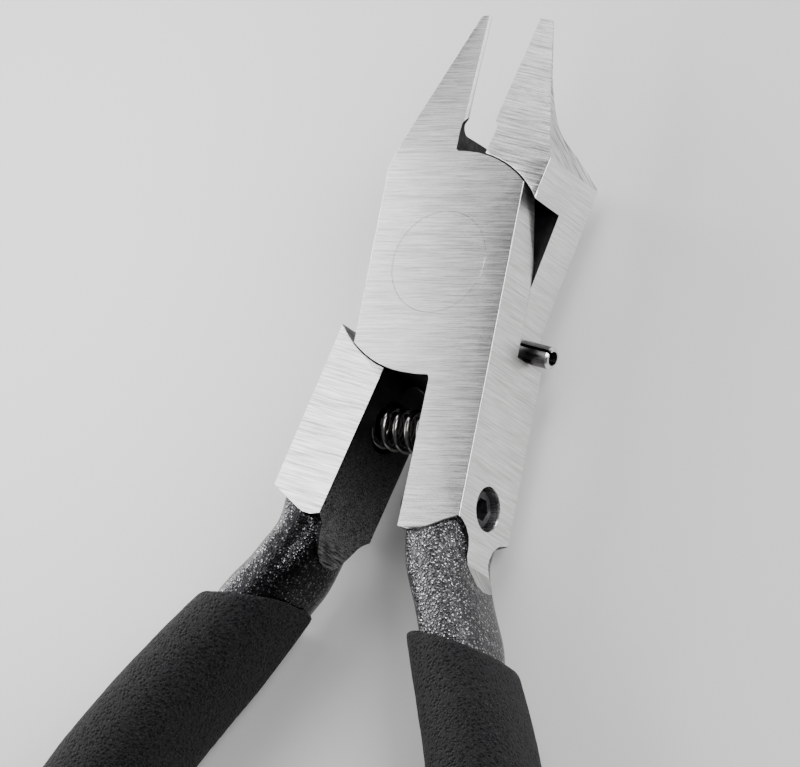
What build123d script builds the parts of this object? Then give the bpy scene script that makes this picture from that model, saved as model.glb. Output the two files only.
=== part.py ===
from build123d import *
import os
from math import sin, cos, tan, atan2, radians, pi, sqrt

os.makedirs("parts", exist_ok=True)

# ---------------------------------------------------------------- driving dimensions, mm and degrees
# Frame: +Z out of the front face, +Y from the pivot towards the blade tips, +X to the right seen from the front.
# Origin: on the pivot axis, on the joint's flat back face. Each lever is drawn in its closed position, with the two
# cutting edges meeting at X = 0; the rear lever is then turned open about the pivot to the rest position.
T = 9.5                 # thickness of the joint, ground flat front and back
ZM = T / 2              # plane on which the two half-thickness plates slide
PLATE_GAP = 0.02        # each plate stands this far back from ZM
HALF_W = 7.79           # half width of the joint across its ground sides
R_PLATE = 11.25         # rounded end of each half-thickness plate
R_SHOULDER = 11.36      # hollow shoulder that hugs the other lever's plate
OPEN_DEG = 12.17        # opening angle, from blades meeting to the opening stop

EDGE_GAP = 0.03         # each cutting edge stands this far from X = 0 when closed
TIP_Y_FRONT = 25.60     # blade tip of the front lever
TIP_Y_REAR = 25.90      # blade tip of the rear lever
HEEL_Y = 14.75          # heel of the cutting edges
TAPER_Y = 11.1          # crease where the blade faces start to lean back
TAPER_DEG = 4.04        # lean of the blade faces

RIVET_HEAD_R = 5.15     # ground-flush rivet head
RIVET_SHANK_R = 3.60
RIVET_FIT = 0.04        # radial running clearance in the rear lever

SPRING_Y = -15.95       # spring seats, one in each lever, below the pivot
SPRING_R = 1.90         # mean coil radius
SPRING_WIRE_R = 0.32
SPRING_PITCH = 1.35
SEAT_R = 2.60           # blind seats, with room for the spring to lean
SEAT_DEPTH = 2.6
SEAT_FACE_FRONT = 1.35  # inner face of each lever at the seats
SEAT_FACE_REAR = -1.58

PIN_R = 1.10            # slotted spring pin
PIN_BORE_R = 0.70
PIN_SLOT = 0.34
PIN_SLOT_DEG = 20       # where its slot faces, from +Z towards +Y
PIN_Y, PIN_Z = -4.82, 2.0
PIN_OUT, PIN_IN = 3.45, 4.2

SCREW_R = 2.0           # M4 set screw
SCREW_Y, SCREW_Z = -23.15, 4.8
SCREW_LEN = 8.0
SCREW_SUNK = 0.74       # depth of its head below the side face
HOLE_MOUTH_R = 2.15
SOCKET_AF = 2.0

TANG_B = 4.85                   # half depth of the forged tang
LAND_RUN_R = 3.3                # run-out radius of the ground land below the joint
EASE = 0.12                     # chamfer on the ground edges
RELIEF_Y = 0.30                 # where the relief behind the front plate's right edge starts
RELIEF_SLOPE = 0.332
CORE_A, CORE_B = 2.15, 3.40     # tang core inside the grip
GRIP_A, GRIP_B = 4.75, 6.30     # half width and half depth of the grip
GRIP_SLANT = 0.60               # slope of the grip's slanted upper end


# ---------------------------------------------------------------- helpers
def face_of(*pts):
    return make_face(Polyline(*pts, close=True))


def slab(face, z0, z1):
    """The planar face, in XY, raised from z0 to z1."""
    return Pos(0, 0, z0) * extrude(face, z1 - z0, dir=(0, 0, 1))


def superellipse(a, b, n, m=28):
    """Closed rounded section: half width a along X, half depth b along Y."""
    pts = []
    for i in range(m):
        t = 2 * pi * i / m
        c, s = cos(t), sin(t)
        pts.append((a * abs(c) ** (2 / n) * (1 if c >= 0 else -1), b * abs(s) ** (2 / n) * (1 if s >= 0 else -1)))
    return make_face(Spline(*pts, periodic=True))


def between(stations, step=2.4):
    """Fill in stations along the centre line with a monotone cubic, so the loft never swells past its stations."""
    s = [0.0]
    for p, q in zip(stations, stations[1:]):
        s.append(s[-1] + sqrt((q[0] - p[0]) ** 2 + (q[1] - p[1]) ** 2))
    slopes = []
    for k in range(6):
        v = [p[k] for p in stations]
        d = [(v[i + 1] - v[i]) / (s[i + 1] - s[i]) for i in range(len(v) - 1)]
        m = [d[0]]
        for i in range(1, len(v) - 1):
            if k < 3:
                h0, h1 = s[i] - s[i - 1], s[i + 1] - s[i]
                m.append((d[i - 1] * h1 + d[i] * h0) / (h0 + h1))
            else:
                m.append(0.0 if d[i - 1] * d[i] <= 0 else 2 * d[i - 1] * d[i] / (d[i - 1] + d[i]))
        m.append(d[-1])
        slopes.append(m)
    out = []
    for i in range(len(stations) - 1):
        h = s[i + 1] - s[i]
        n = max(1, round(h / step))
        for j in range(n):
            u = j / n
            row = []
            for k in range(6):
                v0, v1, m0, m1 = stations[i][k], stations[i + 1][k], slopes[k][i], slopes[k][i + 1]
                row.append((2 * u ** 3 - 3 * u ** 2 + 1) * v0 + (u ** 3 - 2 * u ** 2 + u) * h * m0
                           + (3 * u ** 2 - 2 * u ** 3) * v1 + (u ** 3 - u ** 2) * h * m1)
            out.append(tuple(row))
    out.append(tuple(stations[-1]))
    return out


def tube_through(stations, step=2.4):
    """Loft through sections (x, y, angle, a, b, n): each section stands square to the handle's centre line."""
    sections = []
    for x, y, ang, a, b, n in between(stations, step):
        t = radians(ang)
        along = (sin(t), -cos(t), 0)
        across = (cos(t), sin(t), 0)
        pl = Plane(origin=(x, y, ZM), x_dir=across, z_dir=along)
        sections.append(pl * superellipse(a, b, n))
    return loft(sections)


def disc(r, z0, z1):
    return Pos(0, 0, (z0 + z1) / 2) * Cylinder(r, z1 - z0)


def along_x(shape):
    """Turn a shape built on +Z so that it points along +X."""
    return Rot(0, 90, 0) * shape


# ---------------------------------------------------------------- 2D outlines, closed position
def arc_pts(r, a0, a1, n=14):
    return [(r * cos(radians(a0 + (a1 - a0) * i / n)), r * sin(radians(a0 + (a1 - a0) * i / n))) for i in range(n + 1)]


def jaw_outline(tip_y, side):
    """Blade with its root and throat notch, on the left (side = -1) or the right (+1) of X = 0."""
    if side < 0:
        pts = [
            (-EDGE_GAP, HEEL_Y), (-EDGE_GAP, tip_y - 0.30), (-0.28, tip_y), (-1.10, tip_y - 0.08), (-1.42, tip_y - 0.42),
            (-3.55, 20.12), (-5.77, 14.97), (-6.92, 12.15), (-HALF_W, 9.70), (-HALF_W, 0), (-0.50, 0),
            (-0.50, 12.2), (-0.56, 13.2), (-0.48, 14.25),
        ]
    else:
        pts = [
            (EDGE_GAP, HEEL_Y + 0.1), (EDGE_GAP, tip_y - 0.08), (1.32, tip_y + 0.05), (1.64, tip_y - 0.28),
            (3.90, 20.40), (6.84, 14.16), (7.58, 12.55), (HALF_W, 12.45), (HALF_W, 0), (0.50, 0),
            (0.50, 12.2), (0.54, 13.6), (0.50, 14.35),
        ]
    return face_of(*pts)


def blade_grind(side):
    """Hollow back of a blade: full thickness at the root, paper thin towards the tip, deepest at the cutting edge."""
    outer = [(28.0, 0.42), (25.0, 0.46), (22.0, 0.52), (19.0, 1.07), (17.5, 1.75), (16.2, 2.85), (14.9, 5.05), (13.8, 7.3), (12.7, 9.55), (12.0, 11.2)]
    inner = [(28.0, 0.10), (25.0, 0.10), (22.0, 0.11), (19.0, 0.12), (17.0, 0.14), (15.2, 0.17), (14.3, 0.24), (13.5, 0.42), (13.08, 0.90), (13.05, 1.6), (13.15, 2.6), (13.28, 3.8), (13.38, 5.2), (13.28, 7.0), (12.9, 9.6), (12.5, 11.2)]
    far = 4.0

    def wall(x, curve):
        # the depth is measured back from the leaning front face
        pts = [(x, y, T - max(0.0, (y - TAPER_Y) * tan(radians(TAPER_DEG))) - t) for y, t in curve]
        sp = Spline(*pts)
        a, b = pts[0], pts[-1]
        return make_face([sp, Line(b, (x, b[1], -far)), Line((x, b[1], -far), (x, a[1], -far)), Line((x, a[1], -far), a)])

    f_out = wall(side * 8.4, outer)
    f_in = wall(-side * 0.4, inner)
    return loft([f_in, f_out], ruled=True)


def taper_wedge():
    """What is ground off in front of the leaning blade faces."""
    y1 = 30.0
    prof = Plane.YZ * face_of((TAPER_Y, T), (y1, T - (y1 - TAPER_Y) * tan(radians(TAPER_DEG))), (y1, T + 2), (TAPER_Y, T + 2))
    return Pos(-12, 0, 0) * extrude(prof, 24, dir=(1, 0, 0))


def edge_bevel():
    """Narrow bevel ground on the front of the left blade along its cutting edge."""
    y0 = HEEL_Y - 0.6
    z0 = T - (y0 - TAPER_Y) * tan(radians(TAPER_DEG))
    prof = Plane(origin=(0, y0, z0), x_dir=(1, 0, 0), z_dir=(0, -1, 0)) * face_of((-0.36, 0.0), (-0.36, 0.5), (0.30, 0.5), (0.30, -0.132))
    run = TIP_Y_FRONT - y0 + 1.0
    return extrude(prof, run / cos(radians(TAPER_DEG)), dir=(0, cos(radians(TAPER_DEG)), -sin(radians(TAPER_DEG))))


def strip(y0, y1, x0=-HALF_W, x1=HALF_W):
    return face_of((x0, y0), (x1, y0), (x1, y1), (x0, y1))


def plate(z0, z1):
    """Half-thickness plate with rounded ends, between the ground sides."""
    return disc(R_PLATE, z0, z1) & slab(strip(-20, 20), z0, z1)


def plate_relief():
    """Long bevel off the back edge of the front plate's right side: nothing at RELIEF_Y, deeper towards the blades."""
    def section(y):
        h = RELIEF_SLOPE * (y - RELIEF_Y)
        w = 0.95 * h
        pts = [(HALF_W - w, ZM - 0.15), (HALF_W - w, ZM), (HALF_W + 0.61, ZM + h + 0.642), (HALF_W + 0.61, ZM - 0.15)]
        return make_face(Polyline(*[(x, y, z) for x, z in pts], close=True))
    return loft([section(RELIEF_Y), section(12.0)], ruled=True)


# ---------------------------------------------------------------- rivet and its seats
def rivet_solid(g=0.0, zlo=0.0, zhi=T):
    """Countersunk both ends and ground flush. g widens it to a running seat."""
    p = [
        (0, zlo), (RIVET_HEAD_R + g, zlo), (RIVET_HEAD_R + g, 0.55), (RIVET_SHANK_R + g, 2.10 + 0.5 * g),
        (RIVET_SHANK_R + g, T - 2.10), (RIVET_HEAD_R + g, T - 0.55), (RIVET_HEAD_R + g, zhi), (0, zhi),
    ]
    prof = Plane.XZ * make_face(Polyline(*p, close=True))
    return revolve(prof, Axis.Z)


# ---------------------------------------------------------------- front lever
def front_tang():
    body = tube_through([
        (4.40, -19.5, 0, 3.00, 4.40, 3.2),
        (4.36, -25.2, 2, 3.24, 4.58, 4.0),
        (4.36, -28.2, 10, 3.30, 4.62, 2.8),
        (5.88, -32.3, 24, 3.02, TANG_B, 2.6),
        (7.72, -36.3, 24, 3.00, TANG_B, 2.8),
        (9.35, -39.9, 23, 2.55, 4.20, 2.8),
        (11.20, -45.0, 22.5, CORE_A, CORE_B, 2.6),
        (15.10, -55.5, 17, CORE_A, CORE_B, 2.6),
        (17.60, -67.0, 7, CORE_A, CORE_B, 2.6),
        (18.20, -79.0, -2, CORE_A, CORE_B, 2.6),
        (17.20, -92.0, -7, CORE_A, CORE_B, 2.6),
    ])
    # side and inner faces are ground flat down to a run-out just above the bend
    cut_out = Pos(HALF_W + 5, -20.2, ZM) * Box(10, 18.0, 20)
    run_out = Pos(HALF_W + LAND_RUN_R, -29.2, ZM) * Cylinder(LAND_RUN_R, 20)
    cut_in = Pos(1.18 - 5, -19, ZM) * Box(10, 15.0, 20)
    # narrow ground land on the outer side: waisted, then wider again over the bend
    land = Plane.YZ * face_of(*[(y, ZM - d) for d, y in (
        (-4.70, -24.0), (-4.70, -25.33), (-4.07, -25.48), (-3.20, -25.92), (-2.47, -26.64), (-2.16, -27.48), (-2.11, -28.50),
        (-1.70, -29.20), (-0.75, -29.96), (0.10, -30.75), (0.90, -31.05), (1.90, -30.95), (2.85, -30.70), (3.15, -30.30),
        (2.85, -29.69), (2.22, -28.94), (1.78, -28.25), (1.80, -27.51), (2.18, -26.65), (3.06, -25.83), (4.70, -25.30), (4.70, -24.0))])
    land = Pos(HALF_W - 1.6, 0, 0) * extrude(land, 1.6, dir=(1, 0, 0))
    return body - cut_out - cut_in + land - run_out


def front_lever_solid():
    jaw = jaw_outline(TIP_Y_FRONT, -1)
    front_half = slab(jaw, ZM + PLATE_GAP, T) + plate(ZM + PLATE_GAP, T)
    back_jaw = slab(jaw, 0, ZM + PLATE_GAP) - disc(R_SHOULDER, -1, ZM + PLATE_GAP)
    # shave the root so nothing is left inside the shoulder circle behind the plate
    blade = front_half + back_jaw
    blade = blade - blade_grind(-1) - taper_wedge() - edge_bevel()
    # small fillet at the foot of the throat
    foot = face_of((-0.60, 10.9), (-0.51, 11.60), (-0.46, 11.44), (-0.36, 11.32), (-0.20, 11.26), (0.05, 11.245), (0.10, 10.9))
    blade = blade + slab(foot, ZM + PLATE_GAP, T - 0.02)

    root = face_of((1.44, -10.2), (1.44, -12.4), (1.16, -26.45), (2.3, -26.72), (3.6, -26.68), (4.75, -26.32),
                   (6.3, -25.72), (HALF_W, -25.30), (HALF_W, -6.0), (3.0, -6.0))
    root_front = slab(root, ZM + PLATE_GAP, T)
    root_back = slab(root, 0, ZM + PLATE_GAP) - disc(R_SHOULDER, -1, ZM + PLATE_GAP)
    horn = face_of((6.60, -9.6), (6.60, -9.26), (7.36, -8.05), (HALF_W, -7.92), (HALF_W, -9.6))
    root_back = root_back + slab(horn, 0, ZM + PLATE_GAP)
    # the plate's lower edge runs straight into a tight corner at the root
    fil = face_of((1.46, -12.2), (1.46, -10.0), (-0.8, -10.0), (-0.8, -11.22), (-0.3, -11.31), (0.4, -11.34), (1.10, -11.35),
                  (1.26, -11.40), (1.36, -11.52), (1.42, -11.75))
    lever = blade + root_front + root_back + slab(fil, ZM + PLATE_GAP, T) + front_tang()

    # relief on the plate's right back edge, widening towards the blades
    lever = lever - plate_relief()

    # rivet seat: the rivet is fixed in this lever
    lever = lever - rivet_solid(0.0)
    # spring seat in the inner face
    lever = lever - Pos(SEAT_FACE_FRONT - 1.0 + (SEAT_DEPTH + 1.0) / 2, SPRING_Y, ZM) * along_x(Cylinder(SEAT_R, SEAT_DEPTH + 1.0))
    # threaded hole of the stop screw, with a chamfered mouth
    lever = lever - Pos(4.0, SCREW_Y, SCREW_Z) * along_x(Cylinder(SCREW_R, 12))
    lever = lever - Pos(HALF_W - 0.10, SCREW_Y, SCREW_Z) * along_x(Cone(SCREW_R - 0.02, HOLE_MOUTH_R + 0.10, 0.45))
    return lever


# ---------------------------------------------------------------- rear lever, closed position
def rear_tang():
    body = tube_through([
        (-5.10, -19.5, -2, 2.95, 4.40, 3.2),
        (-5.30, -24.6, -4, 3.02, 4.52, 2.8),
        (-5.34, -28.2, -12, 2.86, 4.40, 2.5),
        (-6.25, -32.0, -23, 2.95, TANG_B, 2.6),
        (-8.10, -35.9, -24.5, 3.00, TANG_B, 2.8),
        (-10.20, -39.9, -24.5, 2.55, 4.20, 2.8),
        (-12.90, -45.0, -24, CORE_A, CORE_B, 2.6),
        (-17.20, -55.5, -19, CORE_A, CORE_B, 2.6),
        (-20.10, -67.0, -9, CORE_A, CORE_B, 2.6),
        (-21.20, -79.0, -1, CORE_A, CORE_B, 2.6),
        (-20.60, -92.0, 5, CORE_A, CORE_B, 2.6),
    ])
    # the inner face is ground on a slight slant down to its run-out
    cut_in = Pos(-1.80, -19.5, ZM) * Rot(0, 0, -3.4) * Pos(5, 0, 0) * Box(10, 19, 20)
    cut_out = Pos(-8.15 - 5, -19.5, ZM) * Rot(0, 0, -1.9) * Box(10, 16, 20)
    # ground land on the inner side: a tongue that runs out on the bend
    land = Plane.YZ * face_of(*[(y, ZM - d) for d, y in (
        (-4.70, -24.0), (-4.70, -26.45), (-3.80, -27.00), (-3.10, -28.45), (-2.40, -29.70), (-1.60, -30.40), (-0.50, -30.65),
        (0.80, -30.65), (1.70, -30.05), (2.75, -28.50), (3.40, -27.45), (3.90, -26.95), (4.70, -26.42), (4.70, -24.0))])
    land = Pos(-4.2, 0, 0) * extrude(land, 4.2, dir=(1, 0, 0))
    land = land - Pos(-1.535, -13.0, ZM) * Rot(0, 0, -3.3) * Pos(6, -10, 0) * Box(12, 30, 20)
    return body - cut_out - cut_in + land


def rear_lever_closed():
    jaw = jaw_outline(TIP_Y_REAR, +1)
    back_half = slab(jaw, 0, ZM - PLATE_GAP) + plate(0, ZM - PLATE_GAP)
    front_jaw = slab(jaw, ZM - PLATE_GAP, T) - disc(R_SHOULDER, ZM - PLATE_GAP, T + 1)
    blade = back_half + front_jaw
    blade = blade - blade_grind(+1) - taper_wedge()

    root = face_of((-1.50, -10.2), (-1.50, -12.4), (-2.31, -26.45), (-3.3, -26.78), (-4.26, -26.75), (-5.17, -26.43),
                   (-7.50, -25.41), (-8.46, -24.95), (-7.86, -8.3), (-HALF_W, -6.0), (-3.0, -6.0))
    root_front = slab(root, ZM - PLATE_GAP, T) - disc(R_SHOULDER, ZM - PLATE_GAP, T + 1)
    root_back = slab(root, 0, ZM - PLATE_GAP)
    fil = face_of((-1.52, -12.6), (-1.52, -10.0), (-0.1, -10.9), (-0.1, -11.30), (-0.64, -11.36), (-1.08, -11.62), (-1.39, -12.05))
    lever = blade + root_front + root_back + slab(fil, 0, ZM - PLATE_GAP) + rear_tang()

    # eased corner that clears the front lever's shoulder
    lever = lever - slab(face_of((HALF_W + 1, -6.2), (HALF_W, -6.75), (7.18, -7.95), (6.42, -9.20), (6.3, -9.8), (HALF_W + 1, -9.8)), -1, ZM)
    # running seat for the rivet
    lever = lever - rivet_solid(RIVET_FIT, zlo=-1.0, zhi=T + 1)
    # blind spring seat
    lever = lever - Pos(SEAT_FACE_REAR + 1.0 - (SEAT_DEPTH + 1.0) / 2, SPRING_Y, ZM) * along_x(Cylinder(SEAT_R, SEAT_DEPTH + 1.0))
    # blind hole for the opening stop pin
    lever = lever - Pos(HALF_W + 0.5 - (PIN_IN + 0.5) / 2, PIN_Y, PIN_Z) * along_x(Cylinder(PIN_R, PIN_IN + 0.5))
    return lever


def opened(shape):
    """Turn a piece of the rear lever from the closed to the rest position."""
    return Rot(0, 0, -OPEN_DEG) * shape


# ---------------------------------------------------------------- small pieces
def opening_stop_pin():
    ln = PIN_OUT + PIN_IN - 0.05
    body = Cylinder(PIN_R, ln) - Cylinder(PIN_BORE_R, ln + 1)
    body = chamfer(body.edges().filter_by(GeomType.CIRCLE).filter_by(lambda e: abs(e.radius - PIN_R) < 1e-6), 0.20)
    slot = Rot(0, 0, -PIN_SLOT_DEG) * Pos(-PIN_R, 0, 0) * Box(2 * PIN_R, PIN_SLOT, ln + 1)
    body = body - slot
    return opened(Pos(HALF_W + PIN_OUT - ln / 2, PIN_Y, PIN_Z) * along_x(body))


def closing_stop_screw():
    body = Cylinder(SCREW_R, SCREW_LEN)
    body = chamfer(body.edges().filter_by(GeomType.CIRCLE), 0.35)
    hexa = Pos(0, 0, SCREW_LEN / 2 - 2.0) * extrude(RegularPolygon(SOCKET_AF / 2, 6, major_radius=False), 3)
    cup = Pos(0, 0, -SCREW_LEN / 2) * Cone(1.1, 0.4, 0.7)
    body = body - hexa - cup
    x_head = HALF_W - SCREW_SUNK
    return Pos(x_head - SCREW_LEN / 2, SCREW_Y, SCREW_Z) * along_x(body)


def return_spring():
    """Coil spring along the line between the two seat floors at rest."""
    c, sn = cos(radians(OPEN_DEG)), sin(radians(OPEN_DEG))
    xr, yr = SEAT_FACE_REAR - SEAT_DEPTH, SPRING_Y
    rear_floor = (xr * c + yr * sn, -xr * sn + yr * c)
    front_floor = (SEAT_FACE_FRONT + SEAT_DEPTH, SPRING_Y)
    dx, dy = front_floor[0] - rear_floor[0], front_floor[1] - rear_floor[1]
    total = sqrt(dx * dx + dy * dy)
    lean = atan2(dy, dx)
    # each end stops short of its floor by the wire and the lean of the end coil
    off = SPRING_WIRE_R + SPRING_R * tan(radians(OPEN_DEG / 2)) + 0.06
    path = Helix(pitch=SPRING_PITCH, height=total - 2 * off, radius=SPRING_R)
    wire = sweep(Plane(origin=path @ 0, z_dir=path % 0) * Circle(SPRING_WIRE_R), path=path, is_frenet=True)
    x0, y0 = rear_floor[0] + off * dx / total, rear_floor[1] + off * dy / total
    return Pos(x0, y0, ZM) * Rot(0, 0, lean * 180 / pi) * along_x(wire)


def grip(path, slant_at, slant_dir):
    body = tube_through(path)
    cx, cy = slant_at
    # slanted upper end: the inner side reaches further up than the outer side
    t = radians(path[0][2])
    up = Vector(-sin(t), cos(t), 0)
    across = Vector(cos(t), sin(t), 0)
    n = (up + across * (GRIP_SLANT * slant_dir)).normalized()
    pl = Plane(origin=(cx, cy, ZM), z_dir=(n.X, n.Y, 0))
    body = split(body, bisect_by=pl, keep=Keep.BOTTOM)
    return body


def front_grip():
    return grip([
        (5.90, -32.9, 23, GRIP_A - 0.80, GRIP_B - 0.75, 2.4),
        (7.60, -36.9, 23, GRIP_A - 0.55, GRIP_B - 0.50, 2.4),
        (9.38, -40.9, 23, GRIP_A - 0.30, GRIP_B - 0.25, 2.4),
        (12.20, -47.3, 22, GRIP_A, GRIP_B, 2.4),
        (15.35, -56.5, 16.5, GRIP_A + 0.35, GRIP_B + 0.1, 2.4),
        (17.60, -67.0, 7, GRIP_A + 0.5, GRIP_B + 0.1, 2.4),
        (18.20, -79.0, -2, GRIP_A + 0.35, GRIP_B, 2.4),
        (17.35, -91.0, -7, GRIP_A + 0.05, GRIP_B - 0.3, 2.4),
        (16.65, -97.0, -8, GRIP_A - 0.6, GRIP_B - 1.2, 2.3),
        (16.35, -99.3, -8, GRIP_A - 2.3, GRIP_B - 3.2, 2.2),
    ], (8.36, -37.66), +1)


def rear_grip():
    return grip([
        (-6.45, -31.8, -24.5, GRIP_A - 1.05, GRIP_B - 0.90, 2.4),
        (-8.25, -35.8, -24.5, GRIP_A - 0.72, GRIP_B - 0.60, 2.4),
        (-10.15, -39.8, -24.5, GRIP_A - 0.38, GRIP_B - 0.25, 2.4),
        (-13.70, -47.3, -23.5, GRIP_A, GRIP_B, 2.4),
        (-17.45, -56.5, -18, GRIP_A + 0.35, GRIP_B + 0.1, 2.4),
        (-20.10, -67.0, -9, GRIP_A + 0.5, GRIP_B + 0.1, 2.4),
        (-21.20, -79.0, -1, GRIP_A + 0.35, GRIP_B, 2.4),
        (-20.75, -91.0, 5, GRIP_A + 0.05, GRIP_B - 0.3, 2.4),
        (-20.20, -97.0, 6, GRIP_A - 0.6, GRIP_B - 1.2, 2.3),
        (-19.95, -99.3, 6, GRIP_A - 2.3, GRIP_B - 3.2, 2.2),
    ], (-8.83, -36.20), -1)


def eased(shape):
    """Small chamfer on the long edges of the ground front and back faces; an edge that can't take it stays sharp."""
    done = 0
    for z in (T, 0.0):
        wanted = []
        for e in shape.edges():
            b = e.bounding_box()
            flat = abs(b.min.Z - z) < 1e-4 and abs(b.max.Z - z) < 1e-4
            if flat and e.length > 1.2 and b.min.Y > -26.0 and not (e.geom_type == GeomType.CIRCLE and e.radius < 8):
                wanted.append(e)
        for e in wanted:
            mid = e @ 0.5
            twin = [q for q in shape.edges() if (q @ 0.5 - mid).length < 0.35 and abs(q.length - e.length) < 0.6 and q.geom_type == e.geom_type]
            twin = sorted(twin, key=lambda q: (q @ 0.5 - mid).length)
            if not twin:
                continue
            try:
                new = chamfer(twin[0], EASE)
                if new.is_valid and abs(new.volume - shape.volume) < 2.0 and len(new.solids()) == 1:
                    shape = new.solids()[0]
                    done += 1
            except Exception:
                pass
    print("eased edges", done)
    return shape


# ---------------------------------------------------------------- build
def one(shape):
    """The single solid of a result."""
    s = shape.solids() if hasattr(shape, "solids") else [shape]
    s = sorted(s, key=lambda q: -q.volume)
    return s[0]


front = eased(one(front_lever_solid()))
rear_c = eased(one(rear_lever_closed()))
f_grip = one(front_grip())
r_grip = one(rear_grip())
f_grip = one(f_grip - front)
r_grip = one(r_grip - rear_c)

nodes = {
    "front_lever": front,
    "rear_lever": one(opened(rear_c)),
    "pivot_rivet": one(rivet_solid()),
    "return_spring": one(return_spring()),
    "opening_stop_pin": one(opening_stop_pin()),
    "closing_stop_screw": one(closing_stop_screw()),
    "front_grip": f_grip,
    "rear_grip": one(opened(r_grip)),
}

for name, shape in nodes.items():
    shape.label = name
    export_step(shape, f"parts/{name}.step")
    bb = shape.bounding_box()
    print(name, "volume", round(shape.volume, 1), "box", [round(v, 2) for v in (*bb.min, *bb.max)], "valid", shape.is_valid)
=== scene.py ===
import math

import bmesh
import bpy
import numpy as np
from mathutils import Matrix, Vector, noise
from mathutils.bvhtree import BVHTree


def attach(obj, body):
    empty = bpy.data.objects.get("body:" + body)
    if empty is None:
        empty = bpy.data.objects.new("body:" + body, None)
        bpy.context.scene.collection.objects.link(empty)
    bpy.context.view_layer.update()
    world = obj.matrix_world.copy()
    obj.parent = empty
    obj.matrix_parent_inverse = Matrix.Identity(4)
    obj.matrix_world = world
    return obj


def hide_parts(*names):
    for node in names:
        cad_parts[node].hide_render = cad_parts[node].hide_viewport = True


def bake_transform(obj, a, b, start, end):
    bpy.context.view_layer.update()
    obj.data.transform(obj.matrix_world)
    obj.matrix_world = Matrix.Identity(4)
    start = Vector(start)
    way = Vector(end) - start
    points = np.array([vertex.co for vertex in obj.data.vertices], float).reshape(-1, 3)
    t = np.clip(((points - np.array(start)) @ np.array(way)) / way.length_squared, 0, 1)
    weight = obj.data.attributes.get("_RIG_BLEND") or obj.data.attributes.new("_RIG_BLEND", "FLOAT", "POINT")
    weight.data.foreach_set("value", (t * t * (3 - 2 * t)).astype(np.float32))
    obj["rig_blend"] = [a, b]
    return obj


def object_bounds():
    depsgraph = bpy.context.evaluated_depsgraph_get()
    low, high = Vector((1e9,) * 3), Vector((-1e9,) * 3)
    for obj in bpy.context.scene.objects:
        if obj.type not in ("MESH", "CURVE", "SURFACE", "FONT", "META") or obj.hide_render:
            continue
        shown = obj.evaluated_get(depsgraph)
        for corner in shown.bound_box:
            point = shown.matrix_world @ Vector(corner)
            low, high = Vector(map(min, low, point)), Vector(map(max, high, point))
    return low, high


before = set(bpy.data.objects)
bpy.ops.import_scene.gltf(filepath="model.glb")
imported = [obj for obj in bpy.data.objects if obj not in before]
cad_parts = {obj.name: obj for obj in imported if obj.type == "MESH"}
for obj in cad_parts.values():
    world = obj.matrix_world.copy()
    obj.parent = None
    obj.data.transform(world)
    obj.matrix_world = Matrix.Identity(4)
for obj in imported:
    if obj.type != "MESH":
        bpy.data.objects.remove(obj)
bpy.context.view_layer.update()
MM = 0.001

# ---------------------------------------------------------------- dimensions shared with the CAD, mm and degrees
T = 9.5
ZM = T / 2
HALF_W = 7.79
OPEN_DEG = 12.17
OPEN = math.radians(OPEN_DEG)
RIVET_HEAD_R = 5.15
RIVET_SHANK_R = 3.60
SPRING_Y = -15.95
SPRING_R = 1.90
SPRING_WIRE_R = 0.32
SEAT_R = 2.60
SPRING_PITCH = 1.35
SEAT_DEPTH = 2.6
SEAT_FACE_FRONT = 1.35
SEAT_FACE_REAR = -1.58
LAND_RUN_R = 3.3
LAND_RUN_Y = -29.2
PIN_OUT = 3.45


def opened(p):
    """A point of the rear lever's closed frame, turned to the rest position, in mm."""
    x, y, z = p
    c, s = math.cos(OPEN), math.sin(OPEN)
    return (x * c + y * s, -x * s + y * c, z)


# ---------------------------------------------------------------- camera: the photograph's viewing angle
cam_data = bpy.data.cameras.new("camera")
cam = bpy.data.objects.new("camera", cam_data)
bpy.context.scene.collection.objects.link(cam)
cam_data.sensor_width = 36.0
cam_data.lens = 353.3847
right = Vector((0.84684384, 0.18491768, -0.49865917))
up = Vector((-0.01158764, 0.94380105, 0.33031093))
back = Vector((0.53171538, -0.27394349, 0.80139486))
CAM_LOC = (0.39456002, -0.21644521, 0.60663790)
cam.matrix_world = Matrix((
    (right.x, up.x, back.x, CAM_LOC[0]),
    (right.y, up.y, back.y, CAM_LOC[1]),
    (right.z, up.z, back.z, CAM_LOC[2]),
    (0, 0, 0, 1)))
cam_data.clip_start, cam_data.clip_end = 0.01, 20.0
bpy.context.scene.camera = cam


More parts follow.
